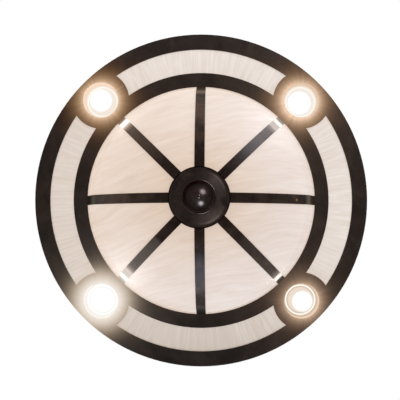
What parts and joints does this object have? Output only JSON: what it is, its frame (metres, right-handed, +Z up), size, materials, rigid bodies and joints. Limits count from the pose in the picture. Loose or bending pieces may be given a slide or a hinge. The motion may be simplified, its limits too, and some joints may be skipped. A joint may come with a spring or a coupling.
{
  "type": "semi-flush ceiling light",
  "caption": "Round semi-flush ceiling light: a bronze ring frame with recessed downlights, curved diffuser panes and a diffuser bowl in a cage of straps.",
  "frame": {"origin": "centre of the crossbar's top face, which lies against the ceiling; the fixture hangs below it", "axes": "+Z up into the ceiling, +X along the crossbar; the downlights stand at 45, 135, 225 and 315 degrees from +X about +Z"},
  "size_m": [0.914, 0.914, 0.4782],
  "materials": {
    "bronze": "satin dark bronze",
    "steel": "zinc plated",
    "brass": "plain",
    "green_steel": "green",
    "diffuser": "streaked, frosted",
    "porcelain": "glazed",
    "lamp_glass": "frosted",
    "rubber": "matte",
    "lead": "insulated wire"
  },
  "bodies": {
    "fixture": {"ceiling_crossbar": "steel", "ground_screw": "green_steel", "mounting_nipple": "brass", "lock_nuts": "steel", "stem": "bronze", "spider_hub": "bronze", "hub_cover": "bronze", "cover_screws": "steel", "arm_bolts": "steel", "spider_arm_1": "bronze", "spider_arm_2": "bronze", "spider_arm_3": "bronze", "spider_arm_4": "bronze", "arm_screws": "bronze", "side_band": "bronze", "band_tabs": "bronze", "frame_plate": "bronze", "weld_studs": "steel", "stud_nuts": "steel", "diffuser_panel_1": "diffuser", "diffuser_panel_2": "diffuser", "diffuser_panel_3": "diffuser", "diffuser_panel_4": "diffuser", "panel_clips": "steel", "cage_strap_1": "bronze", "cage_strap_2": "bronze", "cage_strap_3": "bronze", "cage_strap_4": "bronze", "cage_strap_5": "bronze", "cage_strap_6": "bronze", "cage_strap_7": "bronze", "cage_strap_8": "bronze", "bowl_diffuser": "diffuser", "bowl_gasket": "rubber", "hub_plate": "bronze", "hub_rivets": "bronze", "centre_rod": "steel", "downlight_can_1": "bronze", "downlight_can_2": "bronze", "downlight_can_3": "bronze", "downlight_can_4": "bronze", "downlight_socket_1": "porcelain", "downlight_socket_2": "porcelain", "downlight_socket_3": "porcelain", "downlight_socket_4": "porcelain", "bulb_sockets": "porcelain", "bulb_1": "lamp_glass", "bulb_2": "lamp_glass", "bulb_3": "lamp_glass", "bulb_4": "lamp_glass", "lead_wires": "lead"},
    "canopy_set": {"canopy": "bronze", "canopy_collar": "bronze", "collar_screw": "bronze"},
    "cap": {"hub_cap": "bronze"},
    "finial": {"finial": "bronze"},
    "lamp_1": {"downlight_lamp_1": "lamp_glass"},
    "lamp_2": {"downlight_lamp_2": "lamp_glass"},
    "lamp_3": {"downlight_lamp_3": "lamp_glass"},
    "lamp_4": {"downlight_lamp_4": "lamp_glass"}
  },
  "joints": [
    {"name": "canopy_slide", "type": "slide", "parent": "fixture", "child": "canopy_set", "axis": [0, 0, -1], "range_m": [0, 0.05]},
    {"name": "finial_turn", "type": "hinge", "parent": "cap", "child": "finial", "pos_m": [0, 0, -0.45], "axis": [0, 0, -1], "range_deg": [0, 2880]},
    {"name": "cap_slide", "type": "slide", "parent": "fixture", "child": "cap", "axis": [0, 0, -1], "range_m": [0, 0.01275]},
    {"name": "lamp_1_slide", "type": "slide", "parent": "fixture", "child": "lamp_1", "axis": [0, 0, -1], "range_m": [0, 0.12]},
    {"name": "lamp_2_slide", "type": "slide", "parent": "fixture", "child": "lamp_2", "axis": [0, 0, -1], "range_m": [0, 0.12]},
    {"name": "lamp_3_slide", "type": "slide", "parent": "fixture", "child": "lamp_3", "axis": [0, 0, -1], "range_m": [0, 0.12]},
    {"name": "lamp_4_slide", "type": "slide", "parent": "fixture", "child": "lamp_4", "axis": [0, 0, -1], "range_m": [0, 0.12]}
  ],
  "couplings": [
    {"joint": "cap_slide", "follows": "finial_turn", "m_per_rad": 0.00025266}
  ]
}
